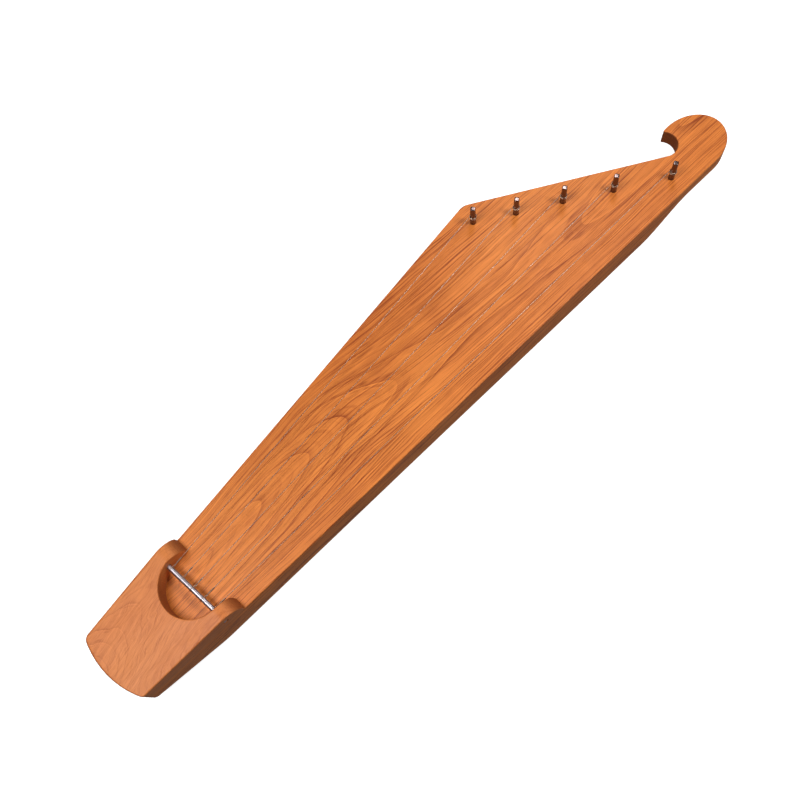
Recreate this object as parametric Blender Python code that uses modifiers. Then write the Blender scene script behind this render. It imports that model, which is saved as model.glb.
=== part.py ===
"""Five-string kantele, a small plucked zither, as separate pieces.

Metres, +Z up. The body lies along X, from the tail at -X to the hooked head at +X, with its long
straight side at -Y and its slanted side at +Y. The origin is the middle of the bounding box on
the surface that it lies on.

Plan positions are written as (t, w): t is the distance from the tail end along the straight side,
and w is the distance from the straight side. Function place() turns them into X and Y.
Pins and strings are numbered from the straight side, so number 1 is the longest string.
"""

import math

import bmesh
import bpy
import numpy as np
from mathutils import Matrix, Vector

MM = 0.001

# Whole instrument
LENGTH = 663.8 * MM
WIDTH = 126.6 * MM
BODY_DEPTH = 30 * MM
FIT_GAP = 0.3 * MM

# Plan of the body
TAIL_WIDTH = 62.2 * MM  # where the slanted side would cross the tail end
SLANT_ANGLE = math.radians(8.18)
TAIL_ARC_CENTRE = (80 * MM, 40 * MM)
TAIL_CORNER_RADII = (6 * MM, 4 * MM)  # at the slanted side and at the straight side
SHOULDER = (451.9 * MM, 127.16 * MM)  # where the slanted side meets the pin edge
SHOULDER_RADIUS = 12 * MM
PIN_EDGE_ANGLE = math.radians(-31.47)
RIM_RADIUS = 1 * MM

# Head and hook
HEAD_CENTRE = (630.4 * MM, 26.5 * MM)
HEAD_HALF_LENGTH = LENGTH - HEAD_CENTRE[0]
HEAD_HALF_WIDTH_OUT = 26.3 * MM  # away from the straight side
HEAD_END_ANGLE = math.radians(103.1)  # where the head's outline reaches the beak
HOOK_CENTRE = (612.7 * MM, 43.9 * MM)
HOOK_RADIUS = 13.1 * MM
BEAK_RADIUS = 1.2 * MM

# Underside
TAIL_RISE_START = 72.4 * MM
TAIL_RISE_SLOPE = math.tan(math.radians(15.8))
SCOOP_START = 540.4 * MM
SCOOP_END = 598.4 * MM
SCOOP_STEPS = 14
HEAD_THICKNESS = 14 * MM

# Resonator hollow, open at the back
DECK_THICKNESS = 4 * MM
WALL = 8 * MM
HOLLOW_START = 106 * MM
HOLLOW_END = 526 * MM
HOLLOW_TO_PINS = 11 * MM
HOLLOW_CORNER_RADIUS = 14 * MM

# Tail block
BLOCK_HEIGHT = 17.8 * MM
BLOCK_FALL = math.tan(math.radians(2.5))  # how its top falls from the horns to the tail end
BLOCK_FRONT = 96.6 * MM  # t of its front face on its own axis
BLOCK_RIM_RADIUS = 1.6 * MM
HORN_ROUNDING = 16.5 * MM
HORN_ARC = (math.radians(1), math.radians(89))  # the part of the rounding that is cut
HORN_STEPS = 9
HORN_CUT_CLEARANCE = 0.02 * MM
NOTCH_CENTRE = (84.65 * MM, 36.15 * MM)
NOTCH_RADIUS = 25.45 * MM
MOUTH_CORNER_RADIUS = 2.5 * MM

# String rod
ROD_RADIUS = 2 * MM
ROD_START_T = 84.45 * MM  # where its axis meets the straight side
ROD_ANGLE = math.radians(5.8)  # from square to the straight side
ROD_HEIGHT = BODY_DEPTH + 9 * MM
ROD_BLIND_DEPTH = 8 * MM
ROD_END_CHAMFER = 0.4 * MM

# Tuning pins: (t, w) of each axis
PINS = [
    (590.0 * MM, 16.1 * MM),
    (548.5 * MM, 43.2 * MM),
    (511.6 * MM, 66.9 * MM),
    (476.7 * MM, 88.1 * MM),
    (445.7 * MM, 108.4 * MM),
]
PIN_LINE_ANGLE = math.radians(-32.6)
PIN_RADIUS = 2.5 * MM
PIN_BORE_GAP = 0.15 * MM
PIN_ABOVE_DECK = 20.2 * MM
PIN_IN_WOOD = [11 * MM] + [20 * MM] * 4  # the first one stands in the thin head
PIN_HEAD_LENGTH = 9.2 * MM
PIN_HEAD_OVERLAP = 0.4 * MM
PIN_HEAD_ACROSS_LOW = 4.5 * MM
PIN_HEAD_ACROSS_TOP = 4.2 * MM
PIN_CHAMFER = 0.6 * MM
STRING_HOLE_RADIUS = 0.55 * MM

# Strings
STRING_SPACING = 11.2 * MM
FIRST_STRING_W = 13 * MM
WIRE_RADIUS = 0.225 * MM
STRING_HEIGHT_AT_PIN = BODY_DEPTH + 7.6 * MM
COIL_RADIUS = PIN_RADIUS + FIT_GAP + WIRE_RADIUS
COIL_PITCH = 2 * WIRE_RADIUS + FIT_GAP
RING_SWEEP = math.radians(335)
# The winding's turns and its height in pitches: level over the string's last turn, then rising
WINDING_TURNS = (0, 0.75, 1, 1.5, 2)
WINDING_RISE = (0, 0, 1, 1.5, 2.25)
ENTRY_BEND_RADIUS = 0.4 * MM  # where the wire turns into the string hole
LOOP_RADIUS = ROD_RADIUS + FIT_GAP + WIRE_RADIUS
LOOP_APEX = 5.5 * MM  # distance from the rod's axis to where the loop closes
TWIST_RADIUS = 2 * WIRE_RADIUS + 0.05 * MM
TWIST_TURNS = 4
TWIST_PITCH = 1.5 * MM
COIL_STEPS = 12  # for one turn
TWIST_STEPS = 8
LOOP_STEPS = 11
ENTRY_STEPS = 6

AXIS_ANGLE = SLANT_ANGLE / 2  # the tail block lies along the middle of the tapering tail
CUTTER_REACH = 10 * MM
MERGE_DISTANCE = 0.001 * MM
SAME_HEIGHT = 0.01 * MM
SHARP_EDGE = math.radians(60)
SMOOTH_BELOW = math.radians(35)


# ---------------------------------------------------------------- plan geometry

def place(t, w, z=0.0):
    """A point given by its distances from the tail end and the straight side."""
    return Vector((t - LENGTH / 2, w - WIDTH / 2, z))


def slanted_side_w(t):
    return TAIL_WIDTH + t * math.tan(SLANT_ANGLE)


def pin_edge_w(t):
    return SHOULDER[1] + (t - SHOULDER[0]) * math.tan(PIN_EDGE_ANGLE)


def arc(centre, radius_t, radius_w, start, end, steps):
    """Points on an ellipse from angle start to angle end, both included."""
    return [
        (centre[0] + radius_t * math.cos(a), centre[1] + radius_w * math.sin(a))
        for a in (start + (end - start) * i / steps for i in range(steps + 1))
    ]


def rounded(corners, step=math.radians(15)):
    """A closed outline from (x, y, radius) corners: each corner with a radius becomes an arc."""
    points = []
    for i, (x, y, radius) in enumerate(corners):
        here = Vector((x, y))
        if radius == 0:
            points.append((x, y))
            continue
        before = (Vector(corners[i - 1][:2]) - here).normalized()
        after = (Vector(corners[(i + 1) % len(corners)][:2]) - here).normalized()
        half = before.angle(after) / 2
        centre = here + (before + after).normalized() * radius / math.sin(half)
        first = here + before * radius / math.tan(half) - centre
        last = here + after * radius / math.tan(half) - centre
        start = math.atan2(first.y, first.x)
        turn = (math.atan2(last.y, last.x) - start + math.pi) % math.tau - math.pi
        steps = max(2, math.ceil(abs(turn) / step))
        points += arc(centre, radius, radius, start, start + turn, steps)
    return points


def sharp(points):
    return [(x, y, 0) for x, y in points]


def tail_arc():
    """The curved tail end, from the slanted side's corner to the straight side's."""
    centre = TAIL_ARC_CENTRE
    radius = centre[0]
    slope = math.tan(SLANT_ANGLE)
    rise = TAIL_WIDTH - centre[1]
    a = 1 + slope**2
    b = slope * rise - centre[0]
    c = centre[0] ** 2 + rise**2 - radius**2
    left_t = (-b - math.sqrt(b**2 - a * c)) / a
    left = math.atan2(slanted_side_w(left_t) - centre[1], left_t - centre[0])
    right = math.tau + math.atan2(-centre[1], -math.sqrt(radius**2 - centre[1] ** 2))
    points = sharp(arc(centre, radius, radius, left, right, 10))
    points[0] = (*points[0][:2], TAIL_CORNER_RADII[0])
    points[-1] = (*points[-1][:2], TAIL_CORNER_RADII[1])
    return points


def body_outline():
    """The body seen from above, anticlockwise from the start of the head's curve."""
    lower = arc(HEAD_CENTRE, HEAD_HALF_LENGTH, HEAD_CENTRE[1], -math.pi / 2, 0, 9)
    upper = arc(HEAD_CENTRE, HEAD_HALF_LENGTH, HEAD_HALF_WIDTH_OUT, 0, HEAD_END_ANGLE, 11)
    beak = upper[-1]
    hook_start = math.atan2(beak[1] - HOOK_CENTRE[1], beak[0] - HOOK_CENTRE[0])
    to_pin_edge = (HOOK_CENTRE[1] - pin_edge_w(HOOK_CENTRE[0])) * math.cos(PIN_EDGE_ANGLE)
    hook_end = PIN_EDGE_ANGLE - math.pi / 2 + math.acos(to_pin_edge / HOOK_RADIUS)
    hook = arc(HOOK_CENTRE, HOOK_RADIUS, HOOK_RADIUS, hook_start, hook_end, 10)
    corners = sharp(lower[:-1] + upper[:-1])
    corners.append((*beak, BEAK_RADIUS))
    corners += sharp(hook[1:])
    corners.append((*SHOULDER, SHOULDER_RADIUS))
    corners += tail_arc()
    return rounded(corners)


def hollow_outline():
    """The resonator hollow seen from above: a trapezium cut short along the pins and the head."""
    pin_t, pin_w = PINS[-1]
    line_w = pin_w - HOLLOW_TO_PINS / math.cos(PIN_LINE_ANGLE)
    inner_w = TAIL_WIDTH - WALL / math.cos(SLANT_ANGLE)
    meet_t = (line_w - inner_w - pin_t * math.tan(PIN_LINE_ANGLE)) / (
        math.tan(SLANT_ANGLE) - math.tan(PIN_LINE_ANGLE)
    )
    start_left_t = HOLLOW_START - slanted_side_w(HOLLOW_START) * math.tan(AXIS_ANGLE)
    corners = [
        (HOLLOW_START, WALL),
        (HOLLOW_END, WALL),
        (HOLLOW_END, line_w + (HOLLOW_END - pin_t) * math.tan(PIN_LINE_ANGLE)),
        (meet_t, inner_w + meet_t * math.tan(SLANT_ANGLE)),
        (start_left_t, inner_w + start_left_t * math.tan(SLANT_ANGLE)),
    ]
    return rounded([(t, w, HOLLOW_CORNER_RADIUS) for t, w in corners], math.radians(22.5))


def on_block_axis(along, aside):
    """A plan point from distances along the tail block's axis and to its left, from the notch."""
    return Vector(NOTCH_CENTRE) + Matrix.Rotation(AXIS_ANGLE, 2) @ Vector((along, aside))


def along_block(spot):
    """How far a placed point lies in front of the notch's centre, along the block's axis."""
    away = spot - place(*NOTCH_CENTRE).xy
    return away.x * math.cos(AXIS_ANGLE) + away.y * math.sin(AXIS_ANGLE)


def block_top_fall(along):
    """How far the block's top lies under its front edge."""
    return BLOCK_FALL * max(block_front_along() - along, 0)


def block_front_along():
    return (BLOCK_FRONT - NOTCH_CENTRE[0]) / math.cos(AXIS_ANGLE)


def block_outline():
    """The tail block seen from above: the body's tail, with a U-shaped notch open to the front."""
    front = block_front_along()
    mouth_right = on_block_axis(front, -NOTCH_RADIUS)
    mouth_left = on_block_axis(front, NOTCH_RADIUS)
    notch_centre = on_block_axis(0, 0)
    notch = arc(
        notch_centre,
        NOTCH_RADIUS,
        NOTCH_RADIUS,
        AXIS_ANGLE - math.pi / 2,
        AXIS_ANGLE - 3 * math.pi / 2,
        18,
    )
    front_right_t = mouth_right.x + mouth_right.y * math.tan(AXIS_ANGLE)
    slope = math.tan(SLANT_ANGLE)
    front_left_t = (mouth_left.x + (mouth_left.y - TAIL_WIDTH) * math.tan(AXIS_ANGLE)) / (
        1 + slope * math.tan(AXIS_ANGLE)
    )
    corners = [(front_right_t, 0, 0), (*mouth_right, MOUTH_CORNER_RADIUS)]
    corners += sharp(notch)
    corners.append((*mouth_left, MOUTH_CORNER_RADIUS))
    corners.append((front_left_t, slanted_side_w(front_left_t), 0))
    corners += tail_arc()
    return rounded(corners)


def underside_height(t):
    """How far the scooped head's underside lies above the surface: an S from the body's depth."""
    full = BODY_DEPTH - HEAD_THICKNESS
    share = min(max((t - SCOOP_START) / (SCOOP_END - SCOOP_START), 0), 1)
    return full * (1 - math.cos(math.pi * share)) / 2


# ---------------------------------------------------------------- objects

def new_collection(name, parent):
    collection = bpy.data.collections.new(name)
    parent.children.link(collection)
    return collection


def new_material(name, color, roughness, metallic):
    made = bpy.data.materials.new(name)
    made.use_nodes = True
    shader = made.node_tree.nodes["Principled BSDF"]
    shader.inputs["Base Color"].default_value = (*color, 1)
    shader.inputs["Roughness"].default_value = roughness
    shader.inputs["Metallic"].default_value = metallic
    return made


def add(name, data, collection, surface=None):
    made = bpy.data.objects.new(name, data)
    collection.objects.link(made)
    if surface:
        data.materials.append(surface)
    return made


def as_mesh(curve_object):
    """Replaces a curve object by a closed mesh of the same name and place."""
    bpy.context.view_layer.update()
    graph = bpy.context.evaluated_depsgraph_get()
    mesh = bpy.data.meshes.new_from_object(curve_object.evaluated_get(graph))
    bm = bmesh.new()
    bm.from_mesh(mesh)
    bmesh.ops.remove_doubles(bm, verts=bm.verts, dist=MERGE_DISTANCE)
    bmesh.ops.dissolve_limit(bm, angle_limit=math.radians(0.1), verts=bm.verts, edges=bm.edges)
    bmesh.ops.recalc_face_normals(bm, faces=bm.faces)
    bm.to_mesh(mesh)
    bm.free()
    name, collection = curve_object.name, curve_object.users_collection[0]
    matrix = curve_object.matrix_world.copy()
    bpy.data.objects.remove(curve_object)
    made = bpy.data.objects.new(name, mesh)
    made.matrix_world = matrix
    collection.objects.link(made)
    return made


def plate(name, outline, low, high, collection, surface=None):
    """A flat outline of plan points made solid between two heights."""
    curve = bpy.data.curves.new(name, "CURVE")
    curve.dimensions = "2D"
    curve.fill_mode = "BOTH"
    curve.extrude = (high - low) / 2
    spline = curve.splines.new("POLY")
    spline.points.add(len(outline) - 1)
    for point, (t, w) in zip(spline.points, outline):
        spot = place(t, w)
        point.co = (spot.x, spot.y, 0, 1)
    spline.use_cyclic_u = True
    made = add(name, curve, collection, surface)
    made.location.z = (high + low) / 2
    return as_mesh(made)


def prism_across(name, profile, middle, angle, half_width, collection):
    """A side view of (distance, height) points, made solid across the instrument.

    Distances run from the plan point middle along the direction angle."""
    curve = bpy.data.curves.new(name, "CURVE")
    curve.dimensions = "2D"
    curve.fill_mode = "BOTH"
    curve.extrude = half_width
    spline = curve.splines.new("POLY")
    spline.points.add(len(profile) - 1)
    for point, (along, height) in zip(spline.points, profile):
        point.co = (along, height, 0, 1)
    spline.use_cyclic_u = True
    made = add(name, curve, collection)
    made.matrix_world = (
        Matrix.Translation(place(*middle))
        @ Matrix.Rotation(angle, 4, "Z")
        @ Matrix.Rotation(math.pi / 2, 4, "X")
    )
    return as_mesh(made)


def round_rim(target, height, radius, segments=2):
    """Rounds a plate's edges at one height, in its own coordinates."""
    bm = bmesh.new()
    bm.from_mesh(target.data)
    rim = [
        e
        for e in bm.edges
        if all(abs(v.co.z - height) < SAME_HEIGHT for v in e.verts)
        and len(e.link_faces) == 2
        and e.calc_face_angle() > SHARP_EDGE
    ]
    bmesh.ops.bevel(bm, geom=rim, offset=radius, segments=segments, profile=0.5, affect="EDGES")
    bm.to_mesh(target.data)
    bm.free()


def cylinder(name, radius, start, end, collection, surface=None, sides=24, chamfer=0):
    """A round bar between two points, with an optional chamfer at both ends."""
    axis = end - start
    mesh = bpy.data.meshes.new(name)
    bm = bmesh.new()
    bmesh.ops.create_cone(
        bm,
        cap_ends=True,
        segments=sides,
        radius1=radius,
        radius2=radius,
        depth=axis.length,
    )
    if chamfer:
        ends = [e for e in bm.edges if e.calc_face_angle(0) > SHARP_EDGE]
        bmesh.ops.bevel(bm, geom=ends, offset=chamfer, segments=1, affect="EDGES")
    bm.to_mesh(mesh)
    bm.free()
    made = add(name, mesh, collection, surface)
    turn = axis.to_track_quat("Z", "Y").to_matrix().to_4x4()
    made.matrix_world = Matrix.Translation((start + end) / 2) @ turn
    return made


def combine(target, other, operation="DIFFERENCE"):
    """Cuts other out of target, or joins it on, and hides it as a cutter."""
    step = target.modifiers.new(other.name, "BOOLEAN")
    step.operation = operation
    step.solver = "EXACT"
    step.object = other
    other.hide_render = True
    other.display_type = "WIRE"


def wire(name, points, radius, collection, surface, origin=None):
    """A round wire along points, with its object's origin at the point origin."""
    origin = origin or Vector((0, 0, 0))
    curve = bpy.data.curves.new(name, "CURVE")
    curve.dimensions = "3D"
    curve.bevel_depth = radius
    curve.bevel_resolution = 2
    curve.use_fill_caps = True
    spline = curve.splines.new("POLY")
    spline.points.add(len(points) - 1)
    for point, spot in zip(spline.points, points):
        point.co = (*(spot - origin), 1)
    made = add(name, curve, collection, surface)
    made.location = origin
    return made


# ---------------------------------------------------------------- pieces

def make_body(parts, cutters, surface):
    body = plate("body", body_outline(), 0, BODY_DEPTH, parts, surface)
    round_rim(body, BODY_DEPTH / 2, RIM_RADIUS)
    round_rim(body, -BODY_DEPTH / 2, RIM_RADIUS)

    below = behind = -CUTTER_REACH
    rise = [
        (behind, below),
        (TAIL_RISE_START + CUTTER_REACH / TAIL_RISE_SLOPE, below),
        (behind, (TAIL_RISE_START - behind) * TAIL_RISE_SLOPE),
    ]
    scoop = [(SCOOP_START, below), (LENGTH + CUTTER_REACH, below)]
    scoop.append((LENGTH + CUTTER_REACH, BODY_DEPTH - HEAD_THICKNESS))
    for i in range(SCOOP_STEPS, 0, -1):
        t = SCOOP_START + (SCOOP_END - SCOOP_START) * i / SCOOP_STEPS
        scoop.append((t, underside_height(t)))
    for name, profile in (("tail_rise_cutter", rise), ("head_scoop_cutter", scoop)):
        combine(body, prism_across(name, profile, (0, WIDTH / 2), 0, WIDTH, cutters))

    ceiling = BODY_DEPTH - DECK_THICKNESS
    combine(body, plate("hollow_cutter", hollow_outline(), -CUTTER_REACH, ceiling, cutters))
    for number, ((t, w), depth) in enumerate(zip(PINS, PIN_IN_WOOD), 1):
        low = place(t, w, BODY_DEPTH - depth - FIT_GAP)
        high = place(t, w, BODY_DEPTH + CUTTER_REACH)
        bore = cylinder(
            f"pin_bore_cutter_{number}", PIN_RADIUS + PIN_BORE_GAP, low, high, cutters
        )
        combine(body, bore)
    return body


def rod_point(w, z=ROD_HEIGHT):
    """The point of the rod's axis at a distance w from the straight side."""
    return place(ROD_START_T - w * math.tan(ROD_ANGLE), w, z)


def make_tail_block(parts, cutters, surface):
    low = BODY_DEPTH + FIT_GAP
    high = BODY_DEPTH + BLOCK_HEIGHT
    block = plate("tail_block", block_outline(), low, high, parts, surface)
    round_rim(block, (high - low) / 2, BLOCK_RIM_RADIUS)
    front = block_front_along()
    for vertex in block.data.vertices:
        if vertex.co.z > 0:
            vertex.co.z -= block_top_fall(along_block(vertex.co.xy))

    rounding_centre = (front - HORN_ROUNDING, high - HORN_ROUNDING + HORN_CUT_CLEARANCE)
    rounding = arc(rounding_centre, HORN_ROUNDING, HORN_ROUNDING, *HORN_ARC, HORN_STEPS)
    profile = [(along, z - block_top_fall(along)) for along, z in rounding]
    profile.insert(0, (front + CUTTER_REACH, profile[0][1]))
    profile += [(profile[-1][0], high + CUTTER_REACH), (front + CUTTER_REACH, high + CUTTER_REACH)]
    combine(
        block,
        prism_across("horn_rounding_cutter", profile, NOTCH_CENTRE, AXIS_ANGLE, WIDTH, cutters),
    )
    bore = cylinder(
        "rod_bore_cutter",
        ROD_RADIUS + FIT_GAP,
        rod_point(-CUTTER_REACH),
        rod_point(rod_far_w() + FIT_GAP),
        cutters,
    )
    combine(block, bore)
    return block


def rod_far_w():
    return NOTCH_CENTRE[1] + NOTCH_RADIUS + ROD_BLIND_DEPTH


def make_string_rod(parts, surface):
    return cylinder(
        "string_rod",
        ROD_RADIUS,
        rod_point(FIT_GAP),
        rod_point(rod_far_w()),
        parts,
        surface,
        chamfer=ROD_END_CHAMFER,
    )


def pin_axis(number, z=0.0):
    return place(*PINS[number - 1], z)


def winding_height(turns):
    """How high the winding's wire lies after a number of turns."""
    return STRING_HEIGHT_AT_PIN + COIL_PITCH * (1 + np.interp(turns, WINDING_TURNS, WINDING_RISE))


def string_hole_height():
    return winding_height(WINDING_TURNS[-1])


def make_tuning_pin(number, parts, cutters, surface):
    """A zither pin: a turned shank with a drilled string hole and a tapered square head."""
    bottom = -PIN_IN_WOOD[number - 1]
    shoulder = PIN_ABOVE_DECK - PIN_HEAD_LENGTH
    profile = [
        (0, shoulder + PIN_CHAMFER),
        (PIN_RADIUS - PIN_CHAMFER, shoulder + PIN_CHAMFER),
        (PIN_RADIUS, shoulder),
        (PIN_RADIUS, bottom + PIN_CHAMFER),
        (PIN_RADIUS - PIN_CHAMFER, bottom),
        (0, bottom),
    ]
    name = f"tuning_pin_{number}"
    mesh = bpy.data.meshes.new(name)
    bm = bmesh.new()
    points = [bm.verts.new((x, 0, z)) for x, z in profile]
    for a, b in zip(points, points[1:]):
        bm.edges.new((a, b))
    bm.to_mesh(mesh)
    bm.free()
    pin = add(name, mesh, parts, surface)
    pin.location = pin_axis(number, BODY_DEPTH)
    turned = pin.modifiers.new("turned", "SCREW")
    turned.steps = turned.render_steps = 20
    turned.use_merge_vertices = True
    turned.merge_threshold = MERGE_DISTANCE

    head_mesh = bpy.data.meshes.new(f"square_head_{number}")
    bm = bmesh.new()
    head_length = PIN_HEAD_LENGTH + PIN_HEAD_OVERLAP
    bmesh.ops.create_cone(
        bm,
        cap_ends=True,
        segments=4,
        radius1=PIN_HEAD_ACROSS_LOW / math.sqrt(2),
        radius2=PIN_HEAD_ACROSS_TOP / math.sqrt(2),
        depth=head_length,
    )
    top = [e for e in bm.edges if all(v.co.z > 0 for v in e.verts)]
    bmesh.ops.bevel(bm, geom=top, offset=PIN_CHAMFER, segments=1, affect="EDGES")
    bm.to_mesh(head_mesh)
    bm.free()
    head = add(f"square_head_{number}", head_mesh, cutters)
    head.location = pin_axis(number, BODY_DEPTH + PIN_ABOVE_DECK - head_length / 2)
    head.rotation_euler.z = hole_angle(number)
    combine(pin, head, "UNION")

    across = level_direction(hole_angle(number))
    middle = pin_axis(number, string_hole_height())
    hole = cylinder(
        f"string_hole_cutter_{number}",
        STRING_HOLE_RADIUS,
        middle - across * 2 * PIN_RADIUS,
        middle + across * 2 * PIN_RADIUS,
        cutters,
        sides=10,
    )
    combine(pin, hole)
    return pin


def level_direction(angle):
    return Vector((math.cos(angle), math.sin(angle), 0))


def string_line(number):
    """Where a string's loop closes and where it first touches its coil, and its direction."""
    at_rod = rod_point(FIRST_STRING_W + STRING_SPACING * (number - 1))
    to_pin = pin_axis(number, ROD_HEIGHT) - at_rod
    angle = math.atan2(to_pin.y, to_pin.x) + math.asin(COIL_RADIUS / to_pin.length)
    reach = math.sqrt(to_pin.length**2 - COIL_RADIUS**2)
    touch = at_rod + level_direction(angle) * reach
    touch.z = STRING_HEIGHT_AT_PIN
    return at_rod, touch, angle


def winding_start(number):
    """The direction, seen from above, in which the string's last turn ends on its pin."""
    return string_line(number)[2] + math.pi / 2 - RING_SWEEP


def hole_angle(number):
    """The direction, seen from above, in which the coil enters the pin's string hole."""
    return winding_start(number) - math.tau * WINDING_TURNS[-1]


def on_coil(number, angle, z, radius=COIL_RADIUS):
    return pin_axis(number, z) + level_direction(angle) * radius


def make_string(number, parts, surface):
    """One string's fixed length: a loop round the rod, a twist, the open wire and its last turn."""
    at_rod, touch, angle = string_line(number)
    along = level_direction(angle)
    aside = level_direction(angle + math.pi / 2)
    up = Vector((0, 0, 1))
    points = []
    for i in range(TWIST_TURNS * TWIST_STEPS, -1, -1):
        turn = math.tau * i / TWIST_STEPS - math.pi / 2
        distance = LOOP_APEX + TWIST_PITCH * i / TWIST_STEPS
        offset = aside * math.cos(turn) + up * math.sin(turn)
        points.append(at_rod + along * distance + offset * TWIST_RADIUS)
    tangent = math.acos(LOOP_RADIUS / LOOP_APEX)
    for i in range(LOOP_STEPS + 1):
        turn = -tangent - (math.tau - 2 * tangent) * i / LOOP_STEPS
        points.append(at_rod + (along * math.cos(turn) + up * math.sin(turn)) * LOOP_RADIUS)
    points.append(at_rod + along * LOOP_APEX)
    points.append(touch)
    ring_steps = round(COIL_STEPS * RING_SWEEP / math.tau)
    for i in range(1, ring_steps + 1):
        turn = angle + math.pi / 2 - RING_SWEEP * i / ring_steps
        points.append(on_coil(number, turn, STRING_HEIGHT_AT_PIN))
    return wire(f"string_{number}", points, WIRE_RADIUS, parts, surface)


def make_string_winding(number, parts, surface):
    """The turns that move with the pin, from the end of the string's last turn to the string hole."""
    start = winding_start(number)
    end = hole_angle(number)
    bend_reach = COIL_RADIUS - ENTRY_BEND_RADIUS
    bend_start = end + math.asin(ENTRY_BEND_RADIUS / bend_reach)
    coil_turns = (start - bend_start) / math.tau
    steps = round(COIL_STEPS * coil_turns)
    points = []
    for i in range(steps + 1):
        turns = coil_turns * i / steps
        points.append(on_coil(number, start - math.tau * turns, winding_height(turns)))
    hole = string_hole_height()
    bend_centre = on_coil(number, bend_start, hole, bend_reach)
    for i in range(1, ENTRY_STEPS + 1):
        turn = bend_start + (end - math.pi / 2 - bend_start) * i / ENTRY_STEPS
        points.append(bend_centre + level_direction(turn) * ENTRY_BEND_RADIUS)
    points.append(pin_axis(number, hole))
    origin = pin_axis(number, BODY_DEPTH)
    return wire(f"string_winding_{number}", points, WIRE_RADIUS, parts, surface, origin)


def shade_round(parts):
    for piece in parts.objects:
        if piece.type == "MESH":
            piece.data.shade_smooth()
            piece.data.set_sharp_from_angle(angle=SMOOTH_BELOW)


def main():
    for old in list(bpy.data.objects):
        bpy.data.objects.remove(old)
    scene = bpy.context.scene.collection
    parts = new_collection("five_string_kantele", scene)
    cutters = new_collection("cutters", scene)
    alder = new_material("oiled_alder", (0.59, 0.2, 0.05), 0.45, 0.0)
    block_alder = new_material("block_alder", (0.6, 0.21, 0.06), 0.45, 0.0)
    steel = new_material("polished_steel", (0.52, 0.47, 0.5), 0.36, 1.0)
    nickel = new_material("nickel_plate", (0.24, 0.17, 0.16), 0.2, 1.0)
    music_wire = new_material("music_wire", (0.6, 0.44, 0.34), 0.35, 1.0)

    make_body(parts, cutters, alder)
    make_tail_block(parts, cutters, block_alder)
    make_string_rod(parts, steel)
    for number in range(1, len(PINS) + 1):
        make_tuning_pin(number, parts, cutters, nickel)
        make_string(number, parts, music_wire)
        make_string_winding(number, parts, music_wire)
    shade_round(parts)


main()
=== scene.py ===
"""Five-string kantele: the visible model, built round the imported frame.

Metres, +Z up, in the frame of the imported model. Plan points are written as (t, w), as in the part:
t is the distance from the tail end, and w the distance from the straight side. Function place()
turns them into X and Y. Pins and strings are numbered from the straight side.
"""

import math

import bmesh
import bpy
import numpy as np
from mathutils import Matrix, Vector


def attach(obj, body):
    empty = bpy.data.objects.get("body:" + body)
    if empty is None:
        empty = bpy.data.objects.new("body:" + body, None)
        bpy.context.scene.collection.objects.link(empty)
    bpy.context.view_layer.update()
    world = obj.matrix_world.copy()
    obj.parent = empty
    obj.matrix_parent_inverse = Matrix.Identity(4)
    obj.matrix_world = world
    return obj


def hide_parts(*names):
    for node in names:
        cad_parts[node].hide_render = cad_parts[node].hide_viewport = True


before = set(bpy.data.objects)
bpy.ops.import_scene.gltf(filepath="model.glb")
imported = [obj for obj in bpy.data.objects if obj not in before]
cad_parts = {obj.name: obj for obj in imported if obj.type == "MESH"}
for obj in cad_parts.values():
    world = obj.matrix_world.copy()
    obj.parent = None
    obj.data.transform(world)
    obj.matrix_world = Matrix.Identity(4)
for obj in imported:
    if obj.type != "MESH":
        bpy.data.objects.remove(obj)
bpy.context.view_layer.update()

MM = 0.001

# ---------------------------------------------------------------- dimensions of the part

LENGTH = 663.8 * MM
WIDTH = 126.6 * MM
BODY_DEPTH = 30 * MM
TAIL_WIDTH = 62.2 * MM
SLANT_ANGLE = math.radians(8.18)
AXIS_ANGLE = SLANT_ANGLE / 2
TAIL_ARC_CENTRE = (80 * MM, 40 * MM)
TAIL_CORNER_RADII = (6 * MM, 4 * MM)
SHOULDER = (451.9 * MM, 127.16 * MM)
SHOULDER_RADIUS = 12 * MM
PIN_EDGE_ANGLE = math.radians(-31.47)
HEAD_CENTRE = (630.4 * MM, 26.5 * MM)
HEAD_HALF_LENGTH = LENGTH - HEAD_CENTRE[0]
HEAD_HALF_WIDTH_OUT = 26.3 * MM
HEAD_END_ANGLE = math.radians(103.1)
HOOK_CENTRE = (612.7 * MM, 43.9 * MM)
HOOK_RADIUS = 13.1 * MM
BEAK_RADIUS = 1.2 * MM
TAIL_RISE_START = 72.4 * MM
TAIL_RISE_SLOPE = math.tan(math.radians(15.8))
SCOOP_START = 540.4 * MM
SCOOP_END = 598.4 * MM
HEAD_THICKNESS = 14 * MM
DECK_THICKNESS = 4 * MM
WALL = 8 * MM
HOLLOW_START = 106 * MM
HOLLOW_END = 526 * MM
HOLLOW_TO_PINS = 11 * MM
HOLLOW_CORNER_RADIUS = 14 * MM
BLOCK_HEIGHT = 17.8 * MM
BLOCK_FALL = math.tan(math.radians(2.5))
BLOCK_FRONT = 96.6 * MM
HORN_ROUNDING = 16.5 * MM
NOTCH_CENTRE = (84.65 * MM, 36.15 * MM)
NOTCH_RADIUS = 25.45 * MM
MOUTH_CORNER_RADIUS = 2.5 * MM
ROD_RADIUS = 2 * MM
ROD_START_T = 84.45 * MM
ROD_ANGLE = math.radians(5.8)
ROD_HEIGHT = BODY_DEPTH + 9 * MM
ROD_BLIND_DEPTH = 8 * MM
PINS = [
    (590.0 * MM, 16.1 * MM),
    (548.5 * MM, 43.2 * MM),
    (511.6 * MM, 66.9 * MM),
    (476.7 * MM, 88.1 * MM),
    (445.7 * MM, 108.4 * MM),
]
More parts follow.
